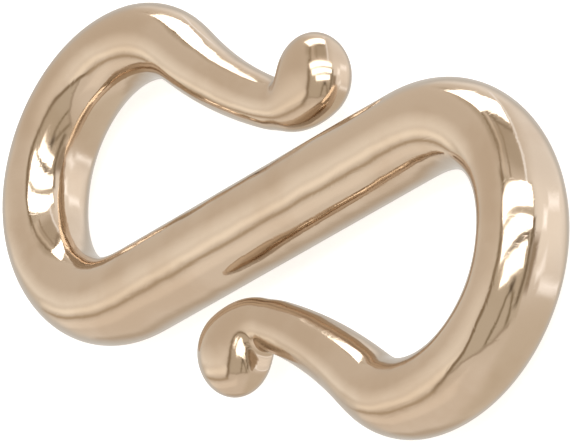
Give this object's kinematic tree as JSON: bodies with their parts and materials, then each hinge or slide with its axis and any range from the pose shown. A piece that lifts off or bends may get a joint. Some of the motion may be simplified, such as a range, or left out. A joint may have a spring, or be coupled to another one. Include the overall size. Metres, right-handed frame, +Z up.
{
  "type": "s-hook clasp",
  "caption": "S-shaped jewellery clasp of round tapered wire: a straight bar between two open loops whose ends curl into small balls, to link chain end rings.",
  "frame": {"origin": "middle of the box around the clasp, on the surface that it lies on: the middle of the bar stands straight above it", "axes": "+X along the clasp's longest extent, towards one loop; +Z up out of the plane of the S; the bar runs 32 degrees from +X towards +Y"},
  "size_m": [0.019, 0.008, 0.0021],
  "materials": {
    "rose_gold": "polished"
  },
  "bodies": {
    "root": {"s_hook": "rose_gold"}
  },
  "joints": []
}
